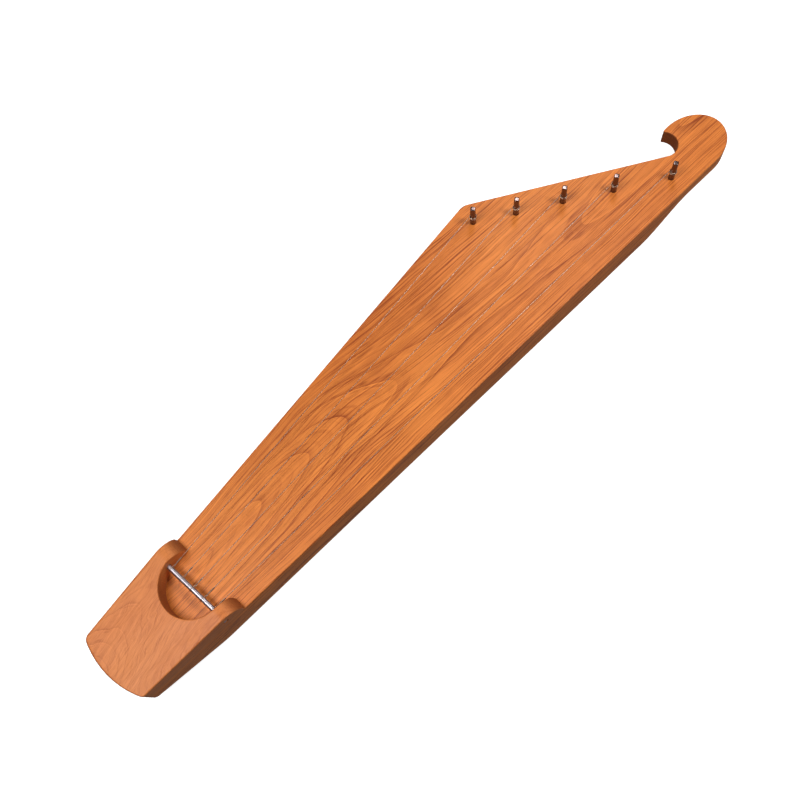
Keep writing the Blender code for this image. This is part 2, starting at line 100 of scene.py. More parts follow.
PIN_LINE_ANGLE = math.radians(-32.6)
PIN_RADIUS = 2.5 * MM
PIN_ABOVE_DECK = 20.2 * MM
PIN_HEAD_LENGTH = 9.2 * MM
STRING_SPACING = 11.2 * MM
FIRST_STRING_W = 13 * MM
WIRE_RADIUS = 0.225 * MM
STRING_HEIGHT_AT_PIN = BODY_DEPTH + 7.6 * MM
RING_SWEEP = math.radians(335)

# ---------------------------------------------------------------- finish of the surfaces

DECK_RIM = 0.8 * MM  # rounding of the deck's edge
HEAD_RIM = 1.1 * MM
BEAK_RIM = 0.8 * MM
LOWER_RIM = (3.0 * MM, 0.9 * MM)  # towards the tail and towards the head
GLUED_RIM = 0.04 * MM
TAIL_RISE_BLEND = 5.5 * MM  # half length of the soft bend where the tail starts to rise
BLOCK_RIM = (1.0 * MM, 2.2 * MM)  # at the straight side and at the slanted side
NOTCH_RIM = 0.9 * MM
HORN_RIM = 1.2 * MM
HOLLOW_EASE = 0.8 * MM
HOLLOW_FILLET = 3 * MM
GLUED_RIM_BLEND = (-0.5 * MM, 3 * MM)  # past the block's front, where the deck's rim begins
BEAK_RIM_BLEND = (2 * MM, 12 * MM)  # distances from the beak
HEAD_RIM_BLEND = (540 * MM, 600 * MM)
LOWER_RIM_BLEND = (240 * MM, 460 * MM)
PIN_BORE_GAP = 0.06 * MM
PIN_BORE_DEPTH = 9 * MM  # a little deeper than the visible pins' feet
ROD_BORE_GAP = 0.12 * MM
ROD_BLIND_GAP = 0.3 * MM
ROD_END_INSET = 0.35 * MM
ROD_CHAMFER = 0.35 * MM
ROD_CHAMFER_MIDDLE = 0.12 * MM
GLUE_LINE = 0.01 * MM
CUTTER_REACH = 5 * MM

RIM_STEPS = 6
RIM_SMOOTHING = 4  # passes over the block's rim radii
OUTLINE_STEP = 3 * MM
BLOCK_STEP = 1.5 * MM
HOLLOW_STEP = 6 * MM
ROUND_SIDES = 48
# where the underside is cut across, at the tail's bend and along the head's scoop
UNDERSIDE_CUTS = [*np.arange(62, 78, 1.5) * MM, *np.arange(536, 599, 2.5) * MM]
HORN_CUTS = [math.radians(a) for a in (*range(0, 90, 6), 86, 88)]


# ---------------------------------------------------------------- plan geometry


def place(t, w, z=0.0):
    """A point given by its distances from the tail end and the straight side."""
    return Vector((t - LENGTH / 2, w - WIDTH / 2, z))


def slanted_side_w(t):
    return TAIL_WIDTH + t * math.tan(SLANT_ANGLE)


def pin_edge_w(t):
    return SHOULDER[1] + (t - SHOULDER[0]) * math.tan(PIN_EDGE_ANGLE)


def arc(centre, radius_t, radius_w, start, end, steps):
    """Points on an ellipse from angle start to angle end, both included."""
    return [
        (centre[0] + radius_t * math.cos(a), centre[1] + radius_w * math.sin(a))
        for a in (start + (end - start) * i / steps for i in range(steps + 1))
    ]


def rounded(corners, step=math.radians(7.5)):
    """A closed outline from (x, y, radius) corners: each corner with a radius becomes an arc."""
    points = []
    for i, (x, y, radius) in enumerate(corners):
        here = Vector((x, y))
        if radius == 0:
            points.append((x, y))
            continue
        before = (Vector(corners[i - 1][:2]) - here).normalized()
        after = (Vector(corners[(i + 1) % len(corners)][:2]) - here).normalized()
        half = before.angle(after) / 2
        centre = here + (before + after).normalized() * radius / math.sin(half)
        first = here + before * radius / math.tan(half) - centre
        last = here + after * radius / math.tan(half) - centre
        start = math.atan2(first.y, first.x)
        turn = (math.atan2(last.y, last.x) - start + math.pi) % math.tau - math.pi
        steps = max(3, math.ceil(abs(turn) / step))
        points += arc(centre, radius, radius, start, start + turn, steps)
    return points


def sharp(points):
    return [(x, y, 0) for x, y in points]


def tail_arc():
    """The curved tail end, from the slanted side's corner to the straight side's."""
    centre = TAIL_ARC_CENTRE
    radius = centre[0]
    slope = math.tan(SLANT_ANGLE)
    rise = TAIL_WIDTH - centre[1]
    a = 1 + slope**2
    b = slope * rise - centre[0]
    c = centre[0] ** 2 + rise**2 - radius**2
    left_t = (-b - math.sqrt(b**2 - a * c)) / a
    left = math.atan2(slanted_side_w(left_t) - centre[1], left_t - centre[0])
    right = math.tau + math.atan2(-centre[1], -math.sqrt(radius**2 - centre[1] ** 2))
    points = sharp(arc(centre, radius, radius, left, right, 10))
    points[0] = (*points[0][:2], TAIL_CORNER_RADII[0])
    points[-1] = (*points[-1][:2], TAIL_CORNER_RADII[1])
    return points


def beak_point():
    return arc(HEAD_CENTRE, HEAD_HALF_LENGTH, HEAD_HALF_WIDTH_OUT, 0, HEAD_END_ANGLE, 1)[-1]


def body_outline():
    """The body seen from above, anticlockwise from the start of the head's curve."""
    lower = arc(HEAD_CENTRE, HEAD_HALF_LENGTH, HEAD_CENTRE[1], -math.pi / 2, 0, 22)
    upper = arc(HEAD_CENTRE, HEAD_HALF_LENGTH, HEAD_HALF_WIDTH_OUT, 0, HEAD_END_ANGLE, 26)
    beak = upper[-1]
    hook_start = math.atan2(beak[1] - HOOK_CENTRE[1], beak[0] - HOOK_CENTRE[0])
    to_pin_edge = (HOOK_CENTRE[1] - pin_edge_w(HOOK_CENTRE[0])) * math.cos(PIN_EDGE_ANGLE)
    hook_end = PIN_EDGE_ANGLE - math.pi / 2 + math.acos(to_pin_edge / HOOK_RADIUS)
    hook = arc(HOOK_CENTRE, HOOK_RADIUS, HOOK_RADIUS, hook_start, hook_end, 30)
    corners = sharp(lower[:-1] + upper[:-1])
    corners.append((*beak, BEAK_RADIUS))
    corners += sharp(hook[3:])
    corners.append((*SHOULDER, SHOULDER_RADIUS))
    corners += tail_arc()
    return rounded(corners)


def hollow_outline():
    """The resonator hollow seen from above: a trapezium cut short along the pins and the head."""
    pin_t, pin_w = PINS[-1]
    line_w = pin_w - HOLLOW_TO_PINS / math.cos(PIN_LINE_ANGLE)
    inner_w = TAIL_WIDTH - WALL / math.cos(SLANT_ANGLE)
    meet_t = (line_w - inner_w - pin_t * math.tan(PIN_LINE_ANGLE)) / (
        math.tan(SLANT_ANGLE) - math.tan(PIN_LINE_ANGLE)
    )
    start_left_t = HOLLOW_START - slanted_side_w(HOLLOW_START) * math.tan(AXIS_ANGLE)
    corners = [
        (HOLLOW_START, WALL),
        (HOLLOW_END, WALL),
        (HOLLOW_END, line_w + (HOLLOW_END - pin_t) * math.tan(PIN_LINE_ANGLE)),
        (meet_t, inner_w + meet_t * math.tan(SLANT_ANGLE)),
        (start_left_t, inner_w + start_left_t * math.tan(SLANT_ANGLE)),
    ]
    return rounded([(t, w, HOLLOW_CORNER_RADIUS) for t, w in corners])


def on_block_axis(along, aside):
    """A plan point from distances along the tail block's axis and to its left, from the notch."""
    return Vector(NOTCH_CENTRE) + Matrix.Rotation(AXIS_ANGLE, 2) @ Vector((along, aside))


def along_block(t, w):
    """How far a plan point lies in front of the notch's centre, along the block's axis."""
    away = Vector((t, w)) - Vector(NOTCH_CENTRE)
    return away.x * math.cos(AXIS_ANGLE) + away.y * math.sin(AXIS_ANGLE)


def block_front_along():
    return (BLOCK_FRONT - NOTCH_CENTRE[0]) / math.cos(AXIS_ANGLE)


def block_outline():
    """The tail block seen from above: the body's tail, with a U-shaped notch open to the front."""
    front = block_front_along()
    mouth_right = on_block_axis(front, -NOTCH_RADIUS)
    mouth_left = on_block_axis(front, NOTCH_RADIUS)
    notch_centre = on_block_axis(0, 0)
    start = AXIS_ANGLE - math.pi / 2
    notch = arc(notch_centre, NOTCH_RADIUS, NOTCH_RADIUS, start, start - math.pi, 48)
    front_right_t = mouth_right.x + mouth_right.y * math.tan(AXIS_ANGLE)
    slope = math.tan(SLANT_ANGLE)
    front_left_t = (mouth_left.x + (mouth_left.y - TAIL_WIDTH) * math.tan(AXIS_ANGLE)) / (
        1 + slope * math.tan(AXIS_ANGLE)
    )
    corners = [(front_right_t, 0, HORN_RIM), (*mouth_right, MOUTH_CORNER_RADIUS)]
    corners += sharp(notch)
    corners.append((*mouth_left, MOUTH_CORNER_RADIUS))
    corners.append((front_left_t, slanted_side_w(front_left_t), HORN_RIM))
    corners += tail_arc()
    return rounded(corners)


def underside_height(t):
    """How far the underside lies above the surface: the rising tail, the flat, the scooped head."""
    bend = TAIL_RISE_START + TAIL_RISE_BLEND - t
    if bend > 0:
        if bend < 2 * TAIL_RISE_BLEND:
            return TAIL_RISE_SLOPE * bend**2 / (4 * TAIL_RISE_BLEND)
        return TAIL_RISE_SLOPE * (bend - TAIL_RISE_BLEND)
    full = BODY_DEPTH - HEAD_THICKNESS
    share = min(max((t - SCOOP_START) / (SCOOP_END - SCOOP_START), 0), 1)
    return full * (1 - math.cos(math.pi * share)) / 2


# ---------------------------------------------------------------- mesh making


def ramp(value, low, high, at_low, at_high):
    """Goes smoothly from at_low to at_high while value goes from low to high."""
    share = min(max((value - low) / (high - low), 0), 1)
    share = share * share * (3 - 2 * share)
    return at_low + (at_high - at_low) * share


def divided(outline, step):
    """An outline with its longer edges cut into pieces of about one step."""
    points = []
    for i, here in enumerate(outline):
        after = outline[(i + 1) % len(outline)]
        pieces = max(1, round(math.dist(here, after) / step))
        for k in range(pieces):
            points.append(tuple(a + (b - a) * k / pieces for a, b in zip(here, after)))
    return np.array(points)


def inward(outline):
    """For each point of an anticlockwise outline, the move that brings both its edges in by one."""
    edge = np.roll(outline, -1, axis=0) - outline
    edge /= np.linalg.norm(edge, axis=1)[:, None]
    normal = np.stack([-edge[:, 1], edge[:, 0]], axis=1)
    before = np.roll(normal, 1, axis=0)
    return (normal + before) / (1 + np.sum(normal * before, axis=1))[:, None]


def new_object(name, data):
    made = bpy.data.objects.new(name, data)
    bpy.context.scene.collection.objects.link(made)
    return made


def closed_object(name, bm, rings):
    """Joins rings of as many vertices each, from the lowest up, and closes both ends."""
    for low, high in zip(rings, rings[1:]):
        for i in range(len(low)):
            k = (i + 1) % len(low)
            bm.faces.new((low[i], low[k], high[k], high[i]))
    bm.faces.new(reversed(rings[0]))
    bm.faces.new(rings[-1])
    mesh = bpy.data.meshes.new(name)
    bm.to_mesh(mesh)
    bm.free()
    return new_object(name, mesh)


def skin(name, outline, rows):
    """A closed mesh from an outline's rows, from the lowest up. A row is (inset, height, wear).

    The wear becomes the point attribute "edge", which the wood uses."""
    moves = inward(outline)
    bm = bmesh.new()
    edge = bm.verts.layers.float.new("edge")
    rings = []
    for inset, height, wear in rows:
        ring = []
        for (t, w), z in zip(outline + moves * np.reshape(inset, (-1, 1)), height):
            vertex = bm.verts.new(place(t, w, z))
            vertex[edge] = wear
            ring.append(vertex)
        rings.append(ring)
    return closed_object(name, bm, rings)


def rim_rows(radius, face, rounding_up):
    """Rows of a rounded rim round a flat face, from low to high, with a radius for each point."""
    rows = []
    for i in range(RIM_STEPS + 1):
        a = math.pi / 2 * i / RIM_STEPS
        inset = radius * (1 - math.cos(a))
        drop = radius * (1 - math.sin(a))
        wear = math.sin(2 * a)
        rows.append((inset, face - drop if rounding_up else face + drop, wear))
    return rows if rounding_up else rows[::-1]


def slice_face(bm, faces, cuts, direction):
    """Cuts faces by planes that stand across a plan direction, through the points cuts."""
    for point in cuts:
        geom = list({g for f in faces for g in (f, *f.edges, *f.verts)})
        cut = bmesh.ops.bisect_plane(bm, geom=geom, plane_co=point, plane_no=direction, dist=1e-7)
        faces = [g for g in cut["geom"] if isinstance(g, bmesh.types.BMFace)]


def finish_mesh(piece, sharp_above=40):
    """Smooth shading that follows the large faces."""
    piece.data.shade_smooth()
    piece.data.set_sharp_from_angle(angle=math.radians(sharp_above))
    weighted = piece.modifiers.new("weighted", "WEIGHTED_NORMAL")
    weighted.keep_sharp = True
    weighted.weight = 60


def cut_away(piece, cutters):
    """Subtracts the cutters from a piece and removes them."""
    for cutter in cutters:
        step = piece.modifiers.new(cutter.name, "BOOLEAN")
        step.operation = "DIFFERENCE"
        step.solver = "EXACT"
        step.object = cutter
    bpy.context.view_layer.update()
    graph = bpy.context.evaluated_depsgraph_get()
    mesh = bpy.data.meshes.new_from_object(piece.evaluated_get(graph))
    piece.modifiers.clear()
    piece.data = mesh
    for cutter in cutters:
        bpy.data.objects.remove(cutter)


def tube(name, points, radius, sides=12, origin=Vector((0, 0, 0))):
    """A wire along points. radius is one number or one for each point."""
    points = [Vector(p) - origin for p in points]
    radii = radius if isinstance(radius, list) else [radius] * len(points)
    bm = bmesh.new()
    normal = None
    rings = []
    for i, here in enumerate(points):
        before = points[max(i - 1, 0)]
        after = points[min(i + 1, len(points) - 1)]
        along = (after - before).normalized()
        normal = along.orthogonal() if normal is None else normal - along * normal.dot(along)
        normal.normalize()
        side = along.cross(normal)
        ring = []
        for k in range(sides):
            a = math.tau * k / sides
            ring.append(bm.verts.new(here + (normal * math.cos(a) + side * math.sin(a)) * radii[i]))
        rings.append(ring)
    made = closed_object(name, bm, rings)
    made.location = origin
    made.data.shade_smooth()
    made.data.set_sharp_from_angle(angle=math.radians(50))
    return made


def turned(name, rows, radius_at, origin, sides=ROUND_SIDES):
    """A body round Z: each row is (height, data), and radius_at(data, angle) gives its outline."""
    bm = bmesh.new()
    rings = []
    for z, data in rows:
        ring = []
        for k in range(sides):
            a = math.tau * k / sides
            r = radius_at(data, a)
            ring.append(bm.verts.new((r * math.cos(a), r * math.sin(a), z)))
        rings.append(ring)
    made = closed_object(name, bm, rings)
    made.location = origin
    return made


def bar_cutter(name, radius, start, end, sides=ROUND_SIDES):
    return tube(name, [start, end], radius, sides)


# ---------------------------------------------------------------- materials


MIX_A, MIX_B, MIX_RESULT = 6, 7, 2  # the mix node's sockets for colours


class Nodes:
    """A material's node tree, built from one call for each node."""

    def __init__(self, name):
        self.material = bpy.data.materials.new(name)
        self.material.use_nodes = True
        self.tree = self.material.node_tree
        self.shader = self.tree.nodes["Principled BSDF"]

    def put(self, socket, value):
        if isinstance(value, bpy.types.NodeSocket):
            self.tree.links.new(value, socket)
        elif value is not None:
            socket.default_value = value

    def add(self, kind, *values, **settings):
        node = self.tree.nodes.new(kind)
        for key, value in settings.items():
            setattr(node, key, value)
        for socket, value in zip(node.inputs, values):
            self.put(socket, value)
        return node

    def math(self, operation, *values):
        return self.add("ShaderNodeMath", *values, operation=operation).outputs[0]

    def total(self, *values):
        result = values[0]
        for value in values[1:]:
            result = self.math("ADD", result, value)
        return result

    def times(self, a, b):
        return self.math("MULTIPLY", a, b)

    def range(self, value, low, high, to_low=0.0, to_high=1.0, smooth=True):
        values = (value, low, high, to_low, to_high)
        kind = "SMOOTHSTEP" if smooth else "LINEAR"
        return self.add("ShaderNodeMapRange", *values, interpolation_type=kind).outputs[0]

    def centred(self, value):
        """Noise moved to lie round nought."""
        return self.math("SUBTRACT", value, 0.5)

    def millimetres(self):
        """The place on the object, in millimetres."""
        metres = self.add("ShaderNodeTexCoord").outputs["Object"]
        return self.scaled(metres, (1 / MM, 1 / MM, 1 / MM))

    def scaled(self, vector, scale):
        node = self.add("ShaderNodeVectorMath", vector, scale, operation="MULTIPLY")
        return node.outputs[0]

    def noise(self, vector, scale, detail=2.0, roughness=0.5):
        """Noise that lies about evenly round 0.5. scale is one number or one for each axis."""
        if not isinstance(scale, tuple):
            scale = (scale, scale, scale)
        node = self.add("ShaderNodeTexNoise")
        self.put(node.inputs["Vector"], self.scaled(vector, scale))
        return self.set_noise(node, detail, roughness)

    def noise_along(self, value, detail=2.0, roughness=0.5):
        """Noise on a line."""
        node = self.add("ShaderNodeTexNoise", noise_dimensions="1D")
        self.put(node.inputs["W"], value)
        return self.set_noise(node, detail, roughness)

    def set_noise(self, node, detail, roughness):
        node.inputs["Scale"].default_value = 1.0
        node.inputs["Detail"].default_value = detail
        node.inputs["Roughness"].default_value = roughness
        return node.outputs["Fac"]

    def curve(self, value, points, low, high):
        """A smooth curve through points of (value, result), with results between low and high."""
        first, last = points[0][0], points[-1][0]
        position = self.range(value, first, last, smooth=False)
        node = self.add("ShaderNodeFloatCurve", 1.0, position)
        line = node.mapping.curves[0]
        places = [((v - first) / (last - first), (r - low) / (high - low)) for v, r in points]
        line.points[0].location = places[0]
        line.points[1].location = places[-1]
        for spot in places[1:-1]:
            line.points.new(*spot)
        node.mapping.update()
        return self.range(node.outputs[0], 0.0, 1.0, low, high, smooth=False)

    def mix(self, factor, a, b, kind="MIX"):
        node = self.tree.nodes.new("ShaderNodeMix")
        node.data_type = "RGBA"
        node.blend_type = kind
        node.clamp_factor = True
        self.put(node.inputs["Factor"], factor)
        self.put(node.inputs[MIX_A], (*a, 1) if isinstance(a, tuple) else a)
        self.put(node.inputs[MIX_B], (*b, 1) if isinstance(b, tuple) else b)
        return node.outputs[MIX_RESULT]

    def bump(self, height, distance, strength=1.0):
        node = self.tree.nodes.new("ShaderNodeBump")
        node.inputs["Strength"].default_value = strength
        node.inputs["Distance"].default_value = distance
        self.put(node.inputs["Height"], height)
        self.put(self.shader.inputs["Normal"], node.outputs[0])


# noise in patterns for each millimetre: along the board, across it and up
WANDER = (0.009, 0.03, 0.03)
WAVER = (0.035, 0.14, 0.14)
BREAKS = (0.018, 0.30, 0.30)
THREADS = (0.007, 1.1, 1.1)
PATCHES = (0.012, 0.05, 0.05)
FIBRES = (0.045, 1.7, 1.7)
STREAKS = (0.011, 0.42, 0.42)
PORES = (0.16, 4.2, 4.2)
RIPPLES = (0.07, 0.02, 0.02)
TONES = (0.006, 0.02, 0.02)
END_DOTS = (0.4, 3.4, 3.4)
SMEARS = (0.02, 0.05, 0.05)

# one growth ring, in shares of its width, and how dark its parts are
LINE_WIDTH = 0.11
LINE_DARKNESS = 0.6
BAND_DARKNESS = 0.3
BAND_POWER = 3.0
SEAM_DECAY = -18.0
SEAM_PALENESS = 0.28

FAR_SHADE_X = -80.0  # the colour is made darker round here, towards the slanted side
OILED_SPECULAR = 0.22
GRAIN_RELIEF = 0.00006


def wood(name, rings, pale, dark):
    """Flat-sawn oiled alder. The growth rings are nested cones round a bent pith under the board,
    so that the figure on the deck, the lines on the sides and the arcs on the ends agree."""
    n = Nodes(name)
    at = n.millimetres()
    x, y, z = n.add("ShaderNodeSeparateXYZ", at).outputs

    # slow wander of the rings, and a little unsteadiness
    wander = n.centred(n.noise(at, WANDER, 2.0))
    waver = n.centred(n.noise(at, WAVER, 3.0, 0.55))
    y_bent = n.total(y, n.times(wander, rings["wander"]), n.times(waver, rings["waver"]))

    # distance from the pith
    heart = n.curve(x, rings["heart"], -60.0, 60.0)
    middle = rings["heart_far"]
    keep = n.range(y, *rings["far_below"])
    heart = n.total(middle, n.times(n.math("SUBTRACT", heart, middle), keep))
    aside = n.math("SUBTRACT", y_bent, heart)
    above = n.times(n.math("MAXIMUM", aside, 0.0), n.curve(x, rings["upper"], 0.0, 4.0))
    aside = n.math("ADD", above, n.math("MINIMUM", aside, 0.0))
    square = n.times(aside, aside)
    fade = n.math("EXPONENT", n.times(square, -1.0 / rings["spread"] ** 2))
    depth = n.curve(x, [(v, u * rings["step"]) for v, u in rings["depth"]], 0.0, 80.0)
    depth = n.math("ADD", depth, n.math("SUBTRACT", z, rings["top"]))
    radius = n.math("SQRT", n.math("ADD", square, n.times(n.times(depth, depth), fade)))
    ring = n.math("DIVIDE", radius, rings["step"])

    # each ring starts with a thin dark line and grows paler
    index = n.math("FLOOR", ring)
    phase = n.math("SUBTRACT", ring, index)
    left = n.math("SUBTRACT", 1.0, phase)
    white = n.add("ShaderNodeTexWhiteNoise", noise_dimensions="1D")
    n.put(white.inputs["W"], index)
    strength = n.range(white.outputs["Value"], 0.0, 1.0, 0.45, 1.0, smooth=False)
    squared = n.math("POWER", n.math("DIVIDE", phase, LINE_WIDTH), 2.0)
    line = n.math("EXPONENT", n.times(squared, -1.0))
    band = n.math("POWER", left, BAND_POWER)
    seam = n.math("EXPONENT", n.times(left, SEAM_DECAY))
    grown = n.total(n.times(line, LINE_DARKNESS), n.times(band, BAND_DARKNESS))
    grown = n.math("SUBTRACT", n.times(grown, strength), n.times(seam, SEAM_PALENESS))

    # finer lines between, broken along the board, and threads that follow the rings
    between = n.centred(n.noise_along(n.times(ring, 3.3), 4.0, 0.72))
    fine = n.range(n.noise_along(n.times(ring, 4.3), 2.0, 0.5), 0.54, 0.62)
    broken = n.range(n.noise(at, BREAKS, 2.0, 0.6), 0.38, 0.62)
    fine = n.math("SUBTRACT", n.times(fine, broken), 0.2)
    flow = n.add("ShaderNodeCombineXYZ", x, aside, z).outputs[0]
    threads = n.range(n.noise(flow, THREADS, 3.0, 0.6), 0.53, 0.64)
    threads = n.math("SUBTRACT", threads, 0.25)
    patch = n.range(n.noise(at, PATCHES, 1.0), 0.35, 0.65, 0.55, 1.15)
    patch = n.times(patch, n.range(n.math("ABSOLUTE", aside), 0.0, 12.0, 0.45, 1.0))
    lines = n.total(grown, n.times(between, 0.6), n.times(fine, rings["fine"]))
    figure = n.times(lines, patch)

    # fibres, pores and slow changes of tone
    fibre = n.centred(n.noise(flow, FIBRES, 4.0, 0.6))
    streak = n.centred(n.noise(flow, STREAKS, 3.0, 0.6))
    pores = n.range(n.noise(at, PORES, 2.0, 0.5), 0.62, 0.74)
    ripple = n.centred(n.noise(at, RIPPLES, 1.0))
    tone = n.centred(n.noise(at, TONES, 2.0))
    from_shade = n.math("ABSOLUTE", n.math("SUBTRACT", x, FAR_SHADE_X))
    far_shade = n.times(n.range(y, -40.0, 30.0), n.range(from_shade, 60.0, 190.0, 0.2, 0.0))
    dark_share = n.total(
        rings["base"],
        n.times(figure, rings["figure"]),
        n.times(threads, rings["threads"]),
        far_shade,
        n.times(fibre, 0.8),
        n.times(streak, 0.8),
        n.times(pores, 0.2),
        n.times(ripple, 0.25),
        n.times(tone, 0.6),
    )
    colour = n.mix(dark_share, pale, dark)
    warm = n.range(tone, -0.2, 0.2)
    colour = n.mix(n.times(warm, 0.22), colour, (1.0, 0.78, 0.62), "MULTIPLY")

    # end grain, turned across the fibres, drinks more oil and looks darker; the darkening is made
    # strong enough to also paint the shade on the inner walls of the notch and the hook
    geometry = n.add("ShaderNodeNewGeometry")
    facing = n.add("ShaderNodeSeparateXYZ", geometry.outputs["True Normal"])
    end = n.range(n.math("ABSOLUTE", facing.outputs[0]), 0.3, 0.95)
    dots = n.noise(at, END_DOTS, 3.0, 0.6)
    end_grain_and_painted_shade = n.times(end, n.range(dots, 0.3, 0.7, 0.65, 1.0))
    # darker end grain, plus painted shade, on the faces turned to the tail and the head
    colour = n.mix(end_grain_and_painted_shade, colour, tuple(0.62 * c for c in dark))

    # handled edges are smoother and a shade darker
    edge = n.add("ShaderNodeAttribute", attribute_name="edge")
    rubbed = n.times(edge.outputs["Fac"], n.range(n.noise(at, 0.09, 2.0), 0.35, 0.7))
    colour = n.mix(n.times(rubbed, 0.3), colour, tuple(0.8 * c for c in dark))
    n.put(n.shader.inputs["Base Color"], colour)

    # smears of oil, and the relief of fibres and pores
    smear = n.noise(at, SMEARS, 3.0)
    rough = n.total(0.36, n.times(smear, 0.16), n.times(fibre, 0.16), n.times(pores, 0.12))
    rough = n.math("SUBTRACT", n.math("ADD", rough, n.times(end, 0.12)), n.times(rubbed, 0.08))
    n.put(n.shader.inputs["Roughness"], rough)
    n.shader.inputs["Specular IOR Level"].default_value = OILED_SPECULAR
    sunk = n.total(n.times(pores, 0.5), n.times(figure, 0.12))
    n.bump(n.math("SUBTRACT", n.times(fibre, 0.6), sunk), GRAIN_RELIEF, 0.8)
    return n.material


# A board's growth rings, in millimetres of the shared frame. "step" is a ring's width, "top" the
# height at which "depth" holds, "depth" the pith's depth in rings as (x, depth), "heart" the
# pith's y as (x, y) and "upper" how much narrower the figure is on its far side. "spread" is how
# wide the cones reach. Below "far_below" in y the pith is taken at "heart_far". "base", "figure",
# "fine" and "threads" are darkness, "wander" and "waver" how far the rings stray.
BODY_RINGS = {
    "step": 2.7,
    "top": 30.0,
    "base": 0.38,
    "figure": 0.85,
    "fine": 0.5,
    "threads": 0.62,
    "wander": 6.0,
    "waver": 1.8,
    "spread": 70.0,
    "far_below": (-58.0, -30.0),
    "heart_far": -13.0,
    "heart": [
        (-330.0, -13.0),
        (-224.5, -11.8),
        (-173.5, -9.4),
        (-122.5, -7.9),
        (-82.5, -7.9),
        (-33.5, -14.0),
        (61.5, -21.0),
        (174.5, -22.9),
        (305.5, -18.5),
        (330.0, -18.0),
    ],
    "upper": [
        (-330.0, 2.2),
        (-235.0, 1.9),
        (-185.0, 1.5),
        (-140.0, 1.2),
        (-100.0, 1.0),
        (330.0, 1.0),
    ],
    "depth": [
        (-330.0, 10.2),
        (-224.5, 12.0),
        (-173.5, 13.0),
        (-122.5, 14.0),
        (-82.5, 15.0),
        (-33.5, 16.0),
        (10.0, 16.7),
        (61.5, 16.88),
        (113.0, 16.7),
        (174.5, 16.0),
        (305.5, 15.0),
        (330.0, 14.85),
    ],
}

BLOCK_RINGS = {
    "step": 2.6,
    "top": 48.0,
    "base": 0.26,
    "figure": 0.5,
    "fine": 0.5,
    "threads": 0.2,
    "wander": 20.0,
    "waver": 7.0,
    "spread": 200.0,
    "far_below": (-64.0, -63.0),
    "heart_far": -14.0,
    "heart": [(-340.0, -26.0), (-310.0, -19.0), (-297.0, -15.5), (-286.0, -12.0), (-225.0, 0.0)],
    "upper": [(-340.0, 1.0), (-225.0, 1.0)],
    "depth": [
        (-340.0, 15.6),
        (-322.5, 17.0),
        (-309.5, 18.0),
        (-297.5, 18.5),
        (-286.5, 18.85),
        (-262.0, 19.0),
        (-225.0, 18.0),
    ],
}


def metal(name, colour, tarnish, roughness, grain, bump):
    """Plated or drawn steel, with fine marks along or round it and faint cloudy tarnish."""
    n = Nodes(name)
    at = n.millimetres()
    marks = n.centred(n.noise(at, grain, 3.0, 0.65))
    clouds = n.range(n.noise(at, 0.45, 3.0, 0.6), 0.42, 0.72)
    n.put(n.shader.inputs["Base Color"], n.mix(n.times(clouds, 0.5), colour, tarnish))
    n.shader.inputs["Metallic"].default_value = 1.0
    rough = n.total(roughness, n.times(marks, 0.22), n.times(clouds, 0.1))
    n.put(n.shader.inputs["Roughness"], rough)
    n.bump(marks, bump, 0.6)
    return n.material


alder = wood("oiled_alder", BODY_RINGS, (0.74, 0.232, 0.044), (0.27, 0.052, 0.009))
block_alder = wood("block_alder", BLOCK_RINGS, (0.66, 0.225, 0.062), (0.34, 0.080, 0.018))
rod_steel = metal(
    "polished_steel", (0.44, 0.40, 0.43), (0.32, 0.28, 0.30), 0.36, (1.6, 1.6, 0.03), 2e-6
)
pin_nickel = metal(
    "nickel_plate", (0.18, 0.13, 0.125), (0.09, 0.06, 0.055), 0.2, (0.5, 0.5, 7.0), 6e-6
)
# the wire's warm brown colour and tarnish are a painted reflection of the orange wood round it
wire_with_painted_reflection = metal(
    "music_wire", (0.48, 0.36, 0.28), (0.36, 0.26, 0.20), 0.4, (1.5, 1.5, 1.5), 1e-6
)


# ---------------------------------------------------------------- pieces


def dress(piece, material, body, slot, *nodes):
    """Gives a piece its material and its body, and hides the parts that it stands for. slot is not
    used.
    """
    piece.data.materials.clear()
    piece.data.materials.append(material)
    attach(piece, body)
    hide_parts(*nodes)


